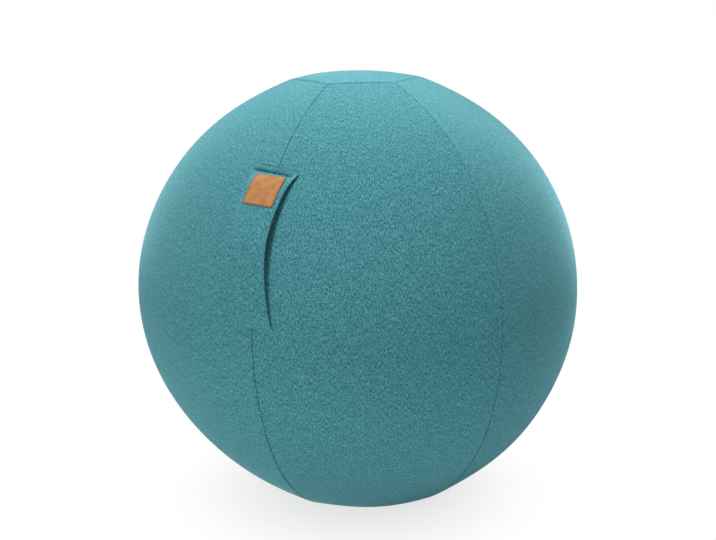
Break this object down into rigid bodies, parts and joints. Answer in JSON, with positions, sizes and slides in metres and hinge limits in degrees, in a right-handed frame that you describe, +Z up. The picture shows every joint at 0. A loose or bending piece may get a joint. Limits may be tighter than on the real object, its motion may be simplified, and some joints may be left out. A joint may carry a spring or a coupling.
{
  "type": "sitting ball",
  "caption": "Large inflated sitting ball in a sewn felt cover of upright panels with a hexagonal cap, a carrying strap with a leather patch, and a zipped round base.",
  "frame": {"origin": "middle of the flattened patch that the ball stands on, at floor level", "axes": "+Z up through the middle of the hexagonal cap, -Y towards the carrying strap's seam"},
  "size_m": [0.641, 0.6615, 0.6377],
  "materials": {
    "felt": "melange wool felt",
    "leather": "tan, smooth grain",
    "zip_tape": "woven tape with moulded teeth",
    "zip_metal": "die-cast, dark coat",
    "ball_pvc": "soft PVC",
    "plug_pvc": "moulded, pale"
  },
  "bodies": {
    "cover": {"top_cap": "felt", "cover_panel_1": "felt", "cover_panel_2": "felt", "cover_panel_3": "felt", "cover_panel_4": "felt", "cover_panel_5": "felt", "cover_panel_6": "felt", "base_panel": "felt", "strap_end_top": "felt", "strap_end_bottom": "felt", "zip_stringer_panels": "zip_tape", "zip_stringer_base": "zip_tape", "zip_bottom_stop": "zip_metal", "inner_ball": "ball_pvc", "valve_plug": "plug_pvc"},
    "handle": {"strap_face": "felt", "strap_lining": "felt", "leather_patch": "leather"},
    "slider": {"zip_slider": "zip_metal"},
    "pull": {"zip_pull": "zip_metal"}
  },
  "joints": [
    {"name": "strap_lift", "type": "slide", "parent": "cover", "child": "handle", "axis": [0, -0.914, 0.4058], "range_m": [0, 0.006]},
    {"name": "zip_run", "type": "hinge", "parent": "cover", "child": "slider", "pos_m": [0, 0, 0], "axis": [0, 0, -1], "range_deg": [0, 212], "deforming": ["zip_stringer_panels", "zip_stringer_base"]},
    {"name": "zip_pull_swing", "type": "hinge", "parent": "slider", "child": "pull", "pos_m": [0.10481, 0.0375, 0.01599], "axis": [0.8832, 0.316, 0.3467], "range_deg": [0, 160]}
  ]
}
